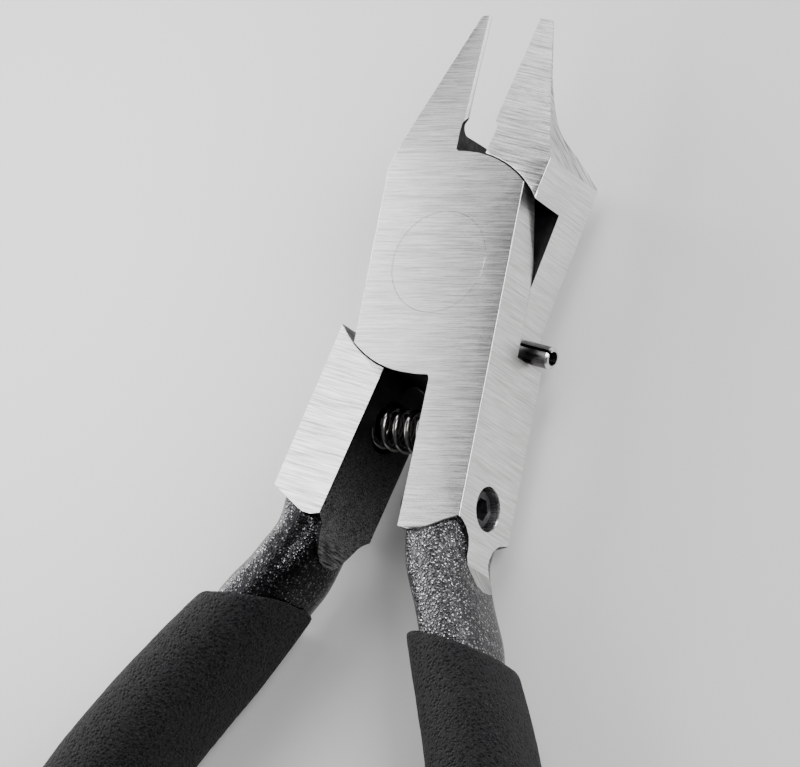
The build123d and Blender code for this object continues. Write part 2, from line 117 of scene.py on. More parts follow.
# ---------------------------------------------------------------- node helpers
class Mat:
    """A small builder for procedural materials."""

    def __init__(self, name):
        self.m = bpy.data.materials.new(name)
        self.m.use_nodes = True
        self.t = self.m.node_tree
        self.t.nodes.clear()
        self.out = self.t.nodes.new("ShaderNodeOutputMaterial")
        self.b = self.t.nodes.new("ShaderNodeBsdfPrincipled")
        self.t.links.new(self.b.outputs["BSDF"], self.out.inputs["Surface"])
        self.coord = self.t.nodes.new("ShaderNodeTexCoord")
        self.p = self.coord.outputs["Object"]
        self.nrm = self.coord.outputs["Normal"]

    def set(self, **kw):
        for k, v in kw.items():
            self.b.inputs[k.replace("_", " ")].default_value = v
        return self

    def link(self, out, name):
        self.t.links.new(out, self.b.inputs[name])

    def node(self, kind, **kw):
        n = self.t.nodes.new(kind)
        for k, v in kw.items():
            setattr(n, k, v)
        return n

    def mapped(self, scale, rot_z=0.0, loc=(0, 0, 0), src=None):
        src = src or self.p
        if rot_z:
            r = self.node("ShaderNodeMapping")
            r.inputs["Rotation"].default_value = (0, 0, rot_z)
            self.t.links.new(src, r.inputs["Vector"])
            src = r.outputs["Vector"]
        n = self.node("ShaderNodeMapping")
        n.inputs["Scale"].default_value = scale
        n.inputs["Location"].default_value = loc
        self.t.links.new(src, n.inputs["Vector"])
        return n.outputs["Vector"]

    def noise(self, vec, scale=1.0, detail=2.0, rough=0.5, distort=0.0):
        n = self.node("ShaderNodeTexNoise")
        n.inputs["Scale"].default_value = scale
        n.inputs["Detail"].default_value = detail
        n.inputs["Roughness"].default_value = rough
        n.inputs["Distortion"].default_value = distort
        self.t.links.new(vec, n.inputs["Vector"])
        return n.outputs["Fac"]

    def cells(self, vec, scale=1.0, feature="F1", smooth=None, rand=1.0):
        n = self.node("ShaderNodeTexVoronoi", feature=feature)
        n.inputs["Scale"].default_value = scale
        n.inputs["Randomness"].default_value = rand
        if smooth is not None and "Smoothness" in n.inputs:
            n.inputs["Smoothness"].default_value = smooth
        self.t.links.new(vec, n.inputs["Vector"])
        return n

    def ramp(self, fac, stops, interp="LINEAR"):
        n = self.node("ShaderNodeValToRGB")
        n.color_ramp.interpolation = interp
        e = n.color_ramp.elements
        while len(e) < len(stops):
            e.new(0.5)
        for i, (pos, col) in enumerate(stops):
            e[i].position = pos
            e[i].color = (col, col, col, 1) if isinstance(col, (int, float)) else (*col, 1)
        self.t.links.new(fac, n.inputs["Fac"])
        return n.outputs["Color"]

    def remap(self, fac, a, b, c, d, clamp=True):
        n = self.node("ShaderNodeMapRange", clamp=clamp)
        for k, v in zip(("From Min", "From Max", "To Min", "To Max"), (a, b, c, d)):
            n.inputs[k].default_value = v
        self.t.links.new(fac, n.inputs["Value"])
        return n.outputs["Result"]

    def math(self, op, a, b=None):
        n = self.node("ShaderNodeMath", operation=op)
        for i, v in enumerate((a, b)):
            if v is None:
                continue
            if isinstance(v, (int, float)):
                n.inputs[i].default_value = v
            else:
                self.t.links.new(v, n.inputs[i])
        return n.outputs["Value"]

    def mix(self, fac, a, b):
        n = self.node("ShaderNodeMix", data_type="RGBA")
        for key, v in ((0, fac), (6, a), (7, b)):
            if isinstance(v, (int, float)):
                n.inputs[key].default_value = v if key == 0 else (v, v, v, 1)
            elif isinstance(v, tuple):
                n.inputs[key].default_value = (*v, 1)
            else:
                self.t.links.new(v, n.inputs[key])
        return n.outputs[2]

    def xyz(self, src=None):
        n = self.node("ShaderNodeSeparateXYZ")
        self.t.links.new(src or self.p, n.inputs["Vector"])
        return n.outputs["X"], n.outputs["Y"], n.outputs["Z"]

    def bump(self, height, distance, strength=1.0, normal=None):
        n = self.node("ShaderNodeBump")
        n.inputs["Strength"].default_value = strength
        n.inputs["Distance"].default_value = distance
        self.t.links.new(height, n.inputs["Height"])
        if normal is not None:
            self.t.links.new(normal, n.inputs["Normal"])
        return n.outputs["Normal"]


def ground_steel(name, rot_z=0.0, base=(0.66, 0.655, 0.645), low=0.18, high=0.34, contrast=1.0, seed=0.0, relief=0.9, axes=None, across=9800):
    """Surface-ground steel: fine, slightly wavy lines of uneven tone, with a few deeper scratches."""
    m = Mat(name)
    if axes:
        # (direction of the lines, direction across them) for a face that isn't square to the lever
        flat = m.node("ShaderNodeCombineXYZ")
        for axis_, socket in zip(axes, ("X", "Y")):
            dot = m.node("ShaderNodeVectorMath", operation="DOT_PRODUCT")
            m.t.links.new(m.p, dot.inputs[0])
            dot.inputs[1].default_value = axis_
            m.t.links.new(dot.outputs["Value"], flat.inputs[socket])
        m.p = flat.outputs["Vector"]
    wave = m.noise(m.mapped((330, 330, 330), 0.0, (seed, 2.0, 5.0)), 1.0, 2.0, 0.5)
    shift = m.node("ShaderNodeCombineXYZ")
    m.t.links.new(m.math("MULTIPLY", wave, 0.00016), shift.inputs["Y"])
    bent = m.node("ShaderNodeVectorMath", operation="ADD")
    m.t.links.new(m.p, bent.inputs[0])
    m.t.links.new(shift.outputs["Vector"], bent.inputs[1])
    v = bent.outputs["Vector"]
    fine = m.noise(m.mapped((230, across, 230), rot_z, (seed, 3.1 + seed, 0), v), 1.0, 3.0, 0.72)
    broad = m.noise(m.mapped((60, 3300, 60), rot_z, (seed + 7.0, 1.7, 0), v), 1.0, 2.0, 0.6)
    deep = m.noise(m.mapped((90, 8800, 90), rot_z, (seed + 2.0, 9.3, 4.0), v), 1.0, 1.0, 0.5)
    bright = m.noise(m.mapped((120, 8200, 120), rot_z, (seed + 12.0, 4.3, 1.0), v), 1.0, 1.0, 0.5)
    cloud = m.noise(m.mapped((150, 150, 150)), 1.0, 2.0, 0.5)
    scratch = m.remap(deep, 0.66, 0.74, 0.0, 1.0)
    glint = m.remap(bright, 0.66, 0.76, 0.0, 1.0)
    tone = m.math("ADD", m.math("MULTIPLY", fine, 0.78), m.math("MULTIPLY", broad, 0.22))
    dark_c = tuple(c * (1 - 0.42 * contrast) for c in base)
    light_c = tuple(min(1.0, c * (1 + 0.36 * contrast)) for c in base)
    col = m.mix(m.remap(tone, 0.36, 0.64, 0.0, 1.0), dark_c, light_c)
    col = m.mix(m.math("MULTIPLY", scratch, 0.34 * contrast), col, tuple(c * 0.45 for c in base))
    col = m.mix(m.math("MULTIPLY", glint, 0.55 * contrast), col, tuple(min(1.0, c * 1.5) for c in base))
    col = m.mix(m.remap(cloud, 0.45, 0.75, 0.0, 0.14), col, tuple(c * 0.72 for c in base))
    m.link(col, "Base Color")
    m.link(m.remap(m.math("ADD", m.math("MULTIPLY", fine, 0.7), m.math("MULTIPLY", cloud, 0.3)), 0.30, 0.70, low, high), "Roughness")
    h = m.math("SUBTRACT", m.math("ADD", m.math("MULTIPLY", fine, 0.75), m.math("MULTIPLY", broad, 0.25)), m.math("MULTIPLY", scratch, 0.35))
    m.link(m.bump(h, 0.000020, relief), "Normal")
    m.set(Metallic=1.0)
    return m.m


def grainy_steel(name):
    """Coarser ground steel of the handle roots' inner sides, painted darker as the shade between the levers."""
    m = Mat(name)
    lines = m.noise(m.mapped((700, 7600, 700), OPEN, (2, 5, 0)), 1.0, 3.0, 0.65)
    grain = m.noise(m.mapped((7000, 7000, 7000)), 1.0, 3.0, 0.75)
    patch = m.noise(m.mapped((520, 520, 520)), 1.0, 3.0, 0.6)
    # smooth beside the joint, rough towards the tang, ground across at the lower end; painted shade: the colour is
    # darkest beside the joint and greyer towards the tang
    y = m.xyz()[1]
    across = m.remap(y, -0.0262, -0.0280, 0.10, 0.75)
    fine = m.node("ShaderNodeMix", data_type="FLOAT")
    for src_, key_ in ((across, 0), (grain, 2), (lines, 3)):
        m.t.links.new(src_, fine.inputs[key_])
    tone = m.math("ADD", m.math("MULTIPLY", fine.outputs[0], 0.82), m.math("MULTIPLY", patch, 0.18))
    # painted shade: darker towards the joint, paler below y = -21.5 mm
    low = m.remap(m.math("ADD", y, m.math("MULTIPLY", patch, 0.006)), -0.0135, -0.0215, 0.0, 1.0)
    pale = m.mix(low, (0.050, 0.050, 0.049), (0.46, 0.457, 0.449))
    m.link(m.mix(m.remap(tone, 0.42, 0.60, 0.0, 1.0), (0.016, 0.016, 0.0157), pale), "Base Color")
    m.link(m.remap(tone, 0.3, 0.7, 0.30, 0.50), "Roughness")
    m.link(m.bump(tone, 0.00006, 0.9), "Normal")
    m.set(Metallic=1.0)
    return m.m


def coated_steel(name, seed=0.0, level=1.0, sparkle_highlight=0.62, relief=0.00013):
    """Gunmetal coating with a fine hammered wrinkle that sparkles: the bump is real, the brighter wrinkle crests are
    painted highlight.
    """
    m = Mat(name)
    v = m.mapped((1, 1, 1), 0.0, (seed, seed, seed))
    c1 = m.cells(v, 3500.0, "SMOOTH_F1", 0.30)
    c2 = m.cells(v, 6600.0, "F1")
    wob = m.noise(v, 2000.0, 3.0, 0.68)
    fine = m.noise(v, 8600.0, 2.0, 0.6)
    h = m.math("ADD", m.math("MULTIPLY", c1.outputs["Distance"], -1.0), m.math("MULTIPLY", c2.outputs["Distance"], -0.45))
    h = m.math("ADD", h, m.math("ADD", m.math("MULTIPLY", wob, 0.60), m.math("MULTIPLY", fine, 0.22)))
    tone = m.math("ADD", m.math("MULTIPLY", wob, 0.5), m.math("MULTIPLY", fine, 0.5))
    # the level scales the coating's colour per tang: painted lighting
    col = m.mix(m.remap(tone, 0.36, 0.64, 0.0, 1.0), tuple(c * level for c in (0.020, 0.0202, 0.022)), tuple(c * level for c in (0.115, 0.115, 0.121)))
    # painted highlight: the crests of the wrinkle are painted brighter, standing in for sparkle
    col = m.mix(m.remap(h, -0.12, 0.16, 0.0, 0.9), col, (sparkle_highlight, sparkle_highlight, min(1.0, sparkle_highlight * 1.03)))
    m.link(col, "Base Color")
    m.link(m.remap(fine, 0.3, 0.7, 0.16, 0.36), "Roughness")
    m.link(m.bump(h, relief, 1.0), "Normal")
    m.set(Metallic=0.94)
    return m.m


def forged_steel(name):
    """Dark as-forged wall left in the throat."""
    m = Mat(name)
    n1 = m.noise(m.mapped((1700, 1700, 1700)), 1.0, 4.0, 0.6)
    n2 = m.noise(m.mapped((420, 420, 420)), 1.0, 2.0, 0.5)
    m.link(m.mix(m.remap(n1, 0.35, 0.7, 0.0, 1.0), (0.004, 0.004, 0.004), (0.024, 0.023, 0.0225)), "Base Color")
    m.link(m.remap(n2, 0.3, 0.7, 0.46, 0.70), "Roughness")
    m.link(m.bump(m.math("ADD", n1, n2), 0.00008, 0.8), "Normal")
    m.set(Metallic=0.6)
    m.b.inputs["Specular IOR Level"].default_value = 0.3
    return m.m


def shaded_gap_steel(name):
    """Sliding faces and the hollow shoulders between the levers, painted nearly black as shade, with faint arcs from
    the turning.
    """
    m = Mat(name)
    x, y, z = m.xyz()
    rad = m.math("SQRT", m.math("ADD", m.math("MULTIPLY", x, x), m.math("MULTIPLY", y, y)))
    ring = m.node("ShaderNodeCombineXYZ")
    m.t.links.new(rad, ring.inputs["X"])
    arcs = m.noise(m.mapped((5200, 1, 1), src=ring.outputs["Vector"]), 1.0, 3.0, 0.6)
    spots = m.noise(m.mapped((900, 900, 900)), 1.0, 3.0, 0.6)
    tone = m.math("ADD", m.math("MULTIPLY", arcs, 0.5), m.math("MULTIPLY", spots, 0.5))
    m.link(m.mix(m.remap(tone, 0.35, 0.68, 0.0, 1.0), (0.004, 0.004, 0.0045), (0.022, 0.0216, 0.0228)), "Base Color")
    m.link(m.remap(spots, 0.3, 0.7, 0.34, 0.52), "Roughness")
    m.link(m.bump(arcs, 0.00001, 0.6), "Normal")
    m.set(Metallic=0.8)
    m.b.inputs["Specular IOR Level"].default_value = 0.25
    return m.m


def wire_steel(name):
    """Drawn spring wire, dark and shiny, with faint die lines."""
    m = Mat(name)
    n = m.noise(m.mapped((2600, 2600, 2600)), 1.0, 3.0, 0.55)
    m.link(m.mix(m.remap(n, 0.35, 0.7, 0.0, 1.0), (0.17, 0.166, 0.158), (0.34, 0.335, 0.32)), "Base Color")
    m.link(m.remap(n, 0.3, 0.7, 0.13, 0.26), "Roughness")
    m.link(m.bump(n, 0.000008, 0.6), "Normal")
    m.set(Metallic=1.0)
    return m.m


def pin_steel(name, bright):
    """Hardened spring pin: dark body, or its outer rim painted bright as a highlight."""
    m = Mat(name)
    n = m.noise(m.mapped((600, 4200, 4200), OPEN), 1.0, 3.0, 0.6)
    if bright:
        a, b, r0, r1 = (0.62, 0.61, 0.60), (0.82, 0.81, 0.80), 0.16, 0.30
    else:
        a, b, r0, r1 = (0.085, 0.084, 0.083), (0.15, 0.148, 0.146), 0.24, 0.34
    m.link(m.mix(m.remap(n, 0.35, 0.68, 0.0, 1.0), a, b), "Base Color")
    m.link(m.remap(n, 0.3, 0.7, r0, r1), "Roughness")
    m.link(m.bump(n, 0.00001, 0.7), "Normal")
    m.set(Metallic=1.0)
    return m.m


def black_oxide(name):
    m = Mat(name)
    n = m.noise(m.mapped((3000, 3000, 3000)), 1.0, 3.0, 0.6)
    m.link(m.mix(m.remap(n, 0.35, 0.7, 0.0, 1.0), (0.012, 0.012, 0.014), (0.045, 0.045, 0.05)), "Base Color")
    m.link(m.remap(n, 0.3, 0.7, 0.28, 0.46), "Roughness")
    m.link(m.bump(n, 0.00001, 0.6), "Normal")
    m.set(Metallic=0.55)
    return m.m


def foam_rubber(name, seed=0.0):
    """Closed-cell foam rubber: matte charcoal skin, grainy and full of fine open pits, the pits painted darker as the
    shade in them.
    """
    m = Mat(name)
    v = m.mapped((1, 1, 1), 0.0, (seed, seed * 0.7, seed * 1.3))
    pits = m.cells(v, 2500.0, "F1")
    small = m.cells(v, 4700.0, "F1")
    cloud = m.noise(v, 260.0, 3.0, 0.55)
    fine = m.noise(v, 6600.0, 3.0, 0.75)
    lo = m.remap(pits.outputs["Distance"], 0.18, 0.50, 0.0, 1.0)
    ls = m.remap(small.outputs["Distance"], 0.15, 0.48, 0.0, 1.0)
    # painted shade: the colour darkens towards the pit centres
    skin = m.math("MULTIPLY", m.remap(lo, 0.0, 1.0, 0.12, 1.0), m.remap(ls, 0.0, 1.0, 0.45, 1.0))
    col = m.mix(skin, (0.0003, 0.0003, 0.0004), (0.0060, 0.0060, 0.0067))
    col = m.mix(m.remap(cloud, 0.35, 0.70, 0.0, 0.25), col, (0.007, 0.007, 0.0075))
    col = m.mix(m.math("MULTIPLY", m.remap(fine, 0.50, 0.70, 0.0, 0.85), skin), col, (0.050, 0.050, 0.0535))
    m.link(col, "Base Color")
    m.link(m.remap(fine, 0.3, 0.7, 0.60, 0.88), "Roughness")
    h = m.math("ADD", m.math("MULTIPLY", lo, 0.8), m.math("ADD", m.math("MULTIPLY", ls, 0.40), m.math("MULTIPLY", fine, 0.45)))
    m.link(m.bump(h, 0.00020, 1.0), "Normal")
    m.set(Metallic=0.0, Sheen_Weight=0.02, Sheen_Roughness=0.5)
    m.b.inputs["Specular IOR Level"].default_value = 0.17
    return m.m


def pale_floor(name):
    m = Mat(name)
    n = m.noise(m.mapped((9, 9, 9)), 1.0, 3.0, 0.5)
    m.link(m.mix(n, (0.70, 0.70, 0.69), (0.76, 0.76, 0.75)), "Base Color")
    m.set(Roughness=0.75)
    m.b.inputs["Specular IOR Level"].default_value = 0.25
    return m.m


# brushing on the facet beyond the rear lever's shoulder runs obliquely down its face
FACET_DOWN = Vector(opened((0.52, -0.854, 0.0)))
FACET_TURN = math.radians(34.0)
FACET_AXES = (tuple(FACET_DOWN * math.sin(FACET_TURN) - Vector((0, 0, 1)) * math.cos(FACET_TURN)),
              tuple(FACET_DOWN * math.cos(FACET_TURN) + Vector((0, 0, 1)) * math.sin(FACET_TURN)))

MAT = {
    # painted reflection: the same ground steel is painted darker on the front lever (base 0.55) and brighter on the
    # rear lever (base 0.86), standing in for the brighter reflection of the rear lever's turned brushing; the flush
    # rivet copies the front lever's darker colour
    "front_ground": ground_steel("ground_front_lever_painted_dim", 0.0, base=(0.55, 0.547, 0.543), low=0.22, high=0.31, contrast=0.85, seed=0.0, relief=0.50),
    "rear_ground": ground_steel("ground_rear_lever_painted_bright", OPEN, base=(0.86, 0.856, 0.848), contrast=1.45, seed=11.0, across=6800),
    "rivet_ground": ground_steel("ground_rivet_painted_dim", 0.0, base=(0.55, 0.547, 0.543), low=0.22, high=0.31, contrast=0.85, seed=0.0, relief=0.50),
    # painted reflection: the side faces are painted near-white (base 0.93 front, 0.97 rear), standing in for the bright
    # reflection they show
    "side_front": ground_steel("ground_side_front_painted_bright", 0.0, base=(0.93, 0.925, 0.905), low=0.28, high=0.44, contrast=1.0, seed=5.0),
    "facet": ground_steel("ground_facet", 0.0, base=(0.68, 0.677, 0.67), low=0.22, high=0.40, contrast=2.1, seed=21.0, axes=FACET_AXES, across=6200),
    # painted reflection: the grinding run-out is painted darker (base 0.46), standing in for the darker surroundings
    # its curve reflects
    "run_out": ground_steel("ground_run_out_painted_shade", 0.0, base=(0.46, 0.458, 0.453), low=0.24, high=0.42, contrast=1.5, seed=31.0, axes=((0.35, 0.55, 0.76), (0.0, 0.81, -0.586))),
    "side_rear": ground_steel("ground_side_rear_painted_bright", OPEN, base=(0.97, 0.965, 0.95), low=0.28, high=0.44, contrast=0.85, seed=8.0),
    # painted highlight: the eased edges are painted brighter (base 0.66 against 0.55), standing in for the bright lines
    # they catch
    "edge": ground_steel("eased_edge_painted_highlight", 0.0, base=(0.66, 0.66, 0.652), low=0.18, high=0.30, contrast=0.25, seed=3.0),
    # partly real, partly painted highlight: the honed cutting bevel is really smoother, and its near-white base (0.95)
    # paints the bright strip it shows
    "honed": ground_steel("honed_cutting_bevel_painted_highlight", 0.0, base=(0.95, 0.948, 0.94), low=0.14, high=0.24, contrast=0.2, seed=4.0),
    "grainy": grainy_steel("inner_side_steel_painted_shade"),
    # painted light: the same coating is painted brighter on the front tang (level 0.80, crests 0.84) and darker on the
    # rear tang (level 0.26, crests 0.30), a lit and a shaded copy
    "coat_front": coated_steel("coated_tang_front_painted_lit", 0.0, 0.80, 0.84, 0.00010),
    "coat_rear": coated_steel("coated_tang_rear_painted_shade", 5.0, 0.26, 0.30, 0.000045),
    "forged": forged_steel("forged_wall"),
    "sliding": shaded_gap_steel("sliding_face_painted_shade"),
    "wire": wire_steel("spring_wire"),
    "pin": pin_steel("pin_body", False),
    "pin_rim_painted_highlight": pin_steel("pin_rim_painted_highlight", True),
    "screw": black_oxide("screw_black_oxide"),
    "foam_front": foam_rubber("foam_front_grip", 0.0),
    "foam_rear": foam_rubber("foam_rear_grip", 3.0),
    "floor": pale_floor("pale_floor"),
}


# ---------------------------------------------------------------- mesh helpers
def new_object(name, mesh):
    o = bpy.data.objects.new(name, mesh)
    bpy.context.scene.collection.objects.link(o)
    return o


def node_copy(node, name, sharp_deg=50.0):
    """A clean copy of a CAD node's mesh: welded, with crisp and soft edges told apart."""
    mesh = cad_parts[node].data.copy()
    mesh.name = name
    mesh.materials.clear()
    bm = bmesh.new()
    bm.from_mesh(mesh)
    bmesh.ops.remove_doubles(bm, verts=bm.verts, dist=2e-6)
    bmesh.ops.dissolve_degenerate(bm, edges=bm.edges, dist=1e-7)
    bmesh.ops.recalc_face_normals(bm, faces=bm.faces)
    lim = math.radians(sharp_deg)
    for e in bm.edges:
        e.smooth = not (len(e.link_faces) == 2 and e.calc_face_angle(0.0) > lim)
    for f in bm.faces:
        f.smooth = True
    bm.to_mesh(mesh)
    bm.free()
    for a in list(mesh.attributes):
        if a.name.startswith("custom_normal"):
            mesh.attributes.remove(a)
    o = new_object(name, mesh)
    return o


def weighted(o):
    w = o.modifiers.new("weighted_normals", "WEIGHTED_NORMAL")
    w.mode = "FACE_AREA"
    w.weight = 50
    w.keep_sharp = True
    w.thresh = 0.01


def face_table(mesh):
    n = len(mesh.polygons)
    c = np.empty(n * 3)
    nn = np.empty(n * 3)
    mesh.polygons.foreach_get("center", c)
    mesh.polygons.foreach_get("normal", nn)
    return c.reshape(-1, 3) / MM, nn.reshape(-1, 3)


def baked(o):
    """Replace an object's mesh with its modified result."""
    dg = bpy.context.evaluated_depsgraph_get()
    me = bpy.data.meshes.new_from_object(o.evaluated_get(dg))
    o.modifiers.clear()
    old = o.data
    o.data = me
    bpy.data.meshes.remove(old)
    return o


# ---------------------------------------------------------------- levers
def to_closed(c, n):
    """Face centres and normals of the rear lever, turned back to its closed frame."""
    co, s = math.cos(OPEN), math.sin(OPEN)
    def r(v):
        out = v.copy()
        out[:, 0] = v[:, 0] * co - v[:, 1] * s
        out[:, 1] = v[:, 0] * s + v[:, 1] * co
        return out
    return r(c), r(n)


# outline of the ground land on the front lever's outer side, as (depth behind the joint's mid plane, y)
LAND = [(-4.70, -24.0), (-4.70, -25.33), (-4.07, -25.48), (-3.20, -25.92), (-2.47, -26.64), (-2.16, -27.48), (-2.11, -28.50),
        (-1.70, -29.20), (-0.75, -29.96), (0.10, -30.75), (0.90, -31.05), (1.90, -30.95), (2.85, -30.70), (3.15, -30.30),
        (2.85, -29.69), (2.22, -28.94), (1.78, -28.25), (1.80, -27.51), (2.18, -26.65), (3.06, -25.83), (4.70, -25.30), (4.70, -24.0)]
LAND_YZ = [(y, ZM - d) for d, y in LAND]


def inside(poly, px, py):
    """Which points lie in the polygon."""
    hit = np.zeros(len(px), bool)
    for (x0_, y0_), (x1_, y1_) in zip(poly, poly[1:] + poly[:1]):
        if y0_ == y1_:
            continue
        cross = ((y0_ > py) != (y1_ > py)) & (px < (x1_ - x0_) * (py - y0_) / (y1_ - y0_) + x0_)
        hit ^= cross
    return hit


def on_run_out(x, y):
    return abs(math.hypot(x - (HALF_W + LAND_RUN_R), y - LAND_RUN_Y) - LAND_RUN_R) < 0.04 and y < LAND_RUN_Y + 0.02


def cut_land(o):
    """Cut the side plane and its run-out along the land's outline, and lay the run-out on its true radius."""
    bm = bmesh.new()
    bm.from_mesh(o.data)

    def picked():
        out = []
        for f in bm.faces:
            q = f.calc_center_median() / MM
            if q.y > -25.9 or q.x < 7.0 or q.y < -33.0:
                continue
            flat = abs(q.x - HALF_W) < 0.03 and f.normal.x > 0.99
            if flat or all(on_run_out(v.co.x / MM, v.co.y / MM) for v in f.verts):
                out.append(f)
        return out

    def slice_at(co, no):
        fs = picked()
        geom = list({v for f in fs for v in f.verts}) + list({e for f in fs for e in f.edges}) + fs
        bmesh.ops.bisect_plane(bm, geom=geom, dist=1e-7, plane_co=Vector(co) * MM, plane_no=no)

    y = -29.5
    while y > -32.2:
        slice_at((0, y, 0), (0, 1, 0))
        y -= 0.3
    for (ya, za), (yb, zb) in zip(LAND_YZ, LAND_YZ[1:]):
        if max(ya, yb) < -26.0:
            slice_at((0, ya, za), Vector((0, zb - za, -(yb - ya))).normalized())
    for v in bm.verts:
        x, y = v.co.x / MM, v.co.y / MM
        if 7.0 < x < 10.5 and -32.6 < y < LAND_RUN_Y - 0.02 and on_run_out(x, y):
            k = LAND_RUN_R / math.hypot(x - (HALF_W + LAND_RUN_R), y - LAND_RUN_Y)
            v.co.x = (HALF_W + LAND_RUN_R + (x - (HALF_W + LAND_RUN_R)) * k) * MM
            v.co.y = (LAND_RUN_Y + (y - LAND_RUN_Y) * k) * MM
    bm.to_mesh(o.data)
    bm.free()


front = node_copy("front_lever", "front_lever_forging")
cut_land(front)
KEYS = ("front_ground", "coat_front", "forged", "grainy", "edge", "side_front", "sliding", "run_out", "honed")
for key in KEYS:
    front.data.materials.append(MAT[key])
c, n = face_table(front.data)
idx = np.zeros(len(c), int)
flat_z = (np.abs(n[:, 2]) > 0.999) & ((np.abs(c[:, 2] - T) < 0.02) | (np.abs(c[:, 2]) < 0.02)) & (c[:, 1] > -26.8)
side = (n[:, 0] > 0.995) & (np.abs(c[:, 0] - HALF_W) < 0.02)
side &= (c[:, 1] > -25.9) | inside(LAND_YZ, c[:, 1], c[:, 2])
run = np.abs(np.hypot(c[:, 0] - HALF_W - LAND_RUN_R, c[:, 1] - LAND_RUN_Y) - LAND_RUN_R) < 0.05
run &= (c[:, 1] < LAND_RUN_Y) & (c[:, 1] > -32.0) & (n[:, 0] > 0.3) & inside(LAND_YZ, c[:, 1], c[:, 2])
tang = (c[:, 1] < -25.0) & ~side & ~flat_z & ~run
idx[tang] = 1
throat = (np.abs(c[:, 0] + 0.5) < 0.12) & (np.abs(n[:, 0]) > 0.9) & (c[:, 1] < 14.5)
idx[throat] = 2
heel = (n[:, 1] < -0.6) & (c[:, 1] > 13.0) & (c[:, 1] < 15.5)
idx[heel] = 2
inner = (n[:, 0] < -0.98) & (c[:, 1] < -11.0) & (c[:, 1] > -27.5) & (c[:, 0] < 2.0)
# painted shade: the front lever's inner side gets the dark inner-side steel
idx[inner] = 3
seat_hole = (np.hypot(c[:, 1] - SPRING_Y, c[:, 2] - ZM) < SEAT_R + 0.03) & (c[:, 0] > SEAT_FACE_FRONT - 0.3) & (c[:, 0] < SEAT_FACE_FRONT + SEAT_DEPTH + 0.1)
seat_hole &= ~((n[:, 0] < -0.97) & (c[:, 0] < SEAT_FACE_FRONT + 0.8))
bevel = (n[:, 0] > 0.12) & (n[:, 2] > 0.9) & (c[:, 1] > 14.5) & (c[:, 0] > -0.6)
fillet = (np.abs(n[:, 2]) < 0.3) & (np.abs(c[:, 0]) < 3.2) & (c[:, 1] < -9.0) & (c[:, 1] > -13.5)
front_fillet = fillet.copy()


def common_parts(c, n, side, idx):
    """Side faces (painted bright reflection), sliding faces with the hollow shoulders (painted shade), and the broken
    edges (painted highlight): the same rule on both levers.
    """
    # painted reflection: side faces get the near-white side steel
    idx[side] = 5
    rad = np.hypot(c[:, 0], c[:, 1])
    slide = (np.abs(n[:, 2]) > 0.99) & (np.abs(c[:, 2] - ZM) < 0.06)
    barrel = (np.abs(n[:, 2]) < 0.05) & (rad > 10.9) & (rad < 11.5) & (np.abs(c[:, 0]) < HALF_W + 0.3) & (np.abs(c[:, 0]) > 0.2)
    radial = np.abs((n[:, 0] * c[:, 0] + n[:, 1] * c[:, 1]) / np.maximum(rad, 1e-6)) > 0.97
    # painted shade: sliding faces and the plates' rounded ends between the levers get the dark sliding steel
    idx[slide | (barrel & radial)] = 6
    # painted shade in the rivet's seat recess
    seat = (np.abs(n[:, 2]) < 0.9) & (rad < RIVET_HEAD_R + 0.1)
    idx[seat] = 6
    # painted highlight: the eased edges get the brighter edge steel
    eased = (np.abs(n[:, 2]) > 0.5) & (np.abs(n[:, 2]) < 0.86) & ((np.abs(c[:, 2] - T) < 0.13) | (np.abs(c[:, 2]) < 0.13)) & (c[:, 1] > -26.6) & (rad > 6)
    idx[eased] = 4


wide = (np.abs(n[:, 0]) > 0.995) & (np.abs(np.abs(c[:, 0]) - HALF_W) < 0.02)
common_parts(c, n, (wide & (c[:, 1] > -25.9)) | side | run, idx)
# painted highlight: the cutting bevel gets the near-white bevel steel
idx[bevel] = 8
idx[front_fillet] = 3
# painted shade in the spring's seat hole
idx[seat_hole] = 6
# painted reflection: the lower run-out faces get the darker run-out steel
idx[run & (c[:, 1] < -27.6)] = 7
front.data.polygons.foreach_set("material_index", idx.astype(np.int32))

rear = node_copy("rear_lever", "rear_lever_forging")
for key in ("rear_ground", "coat_rear", "forged", "grainy", "edge", "side_rear", "sliding", "facet"):
    rear.data.materials.append(MAT[key])
c, n = to_closed(*face_table(rear.data))
idx = np.zeros(len(c), int)
flat_z = (np.abs(n[:, 2]) > 0.999) & ((np.abs(c[:, 2] - T) < 0.02) | (np.abs(c[:, 2]) < 0.02)) & (c[:, 1] > -26.9)
inner = (n[:, 0] > 0.99) & (c[:, 1] < -11.0) & (c[:, 1] > -31.5) & (c[:, 0] > -3.2)
outer = (n[:, 0] < -0.98) & (c[:, 1] < -8.0) & (c[:, 1] > -26.0)
tang = (c[:, 1] < -24.9) & ~inner & ~flat_z & ~outer
idx[tang] = 1
throat = (np.abs(c[:, 0] - 0.5) < 0.12) & (np.abs(n[:, 0]) > 0.9) & (c[:, 1] < 14.5) & (c[:, 1] > 0)
idx[throat] = 2
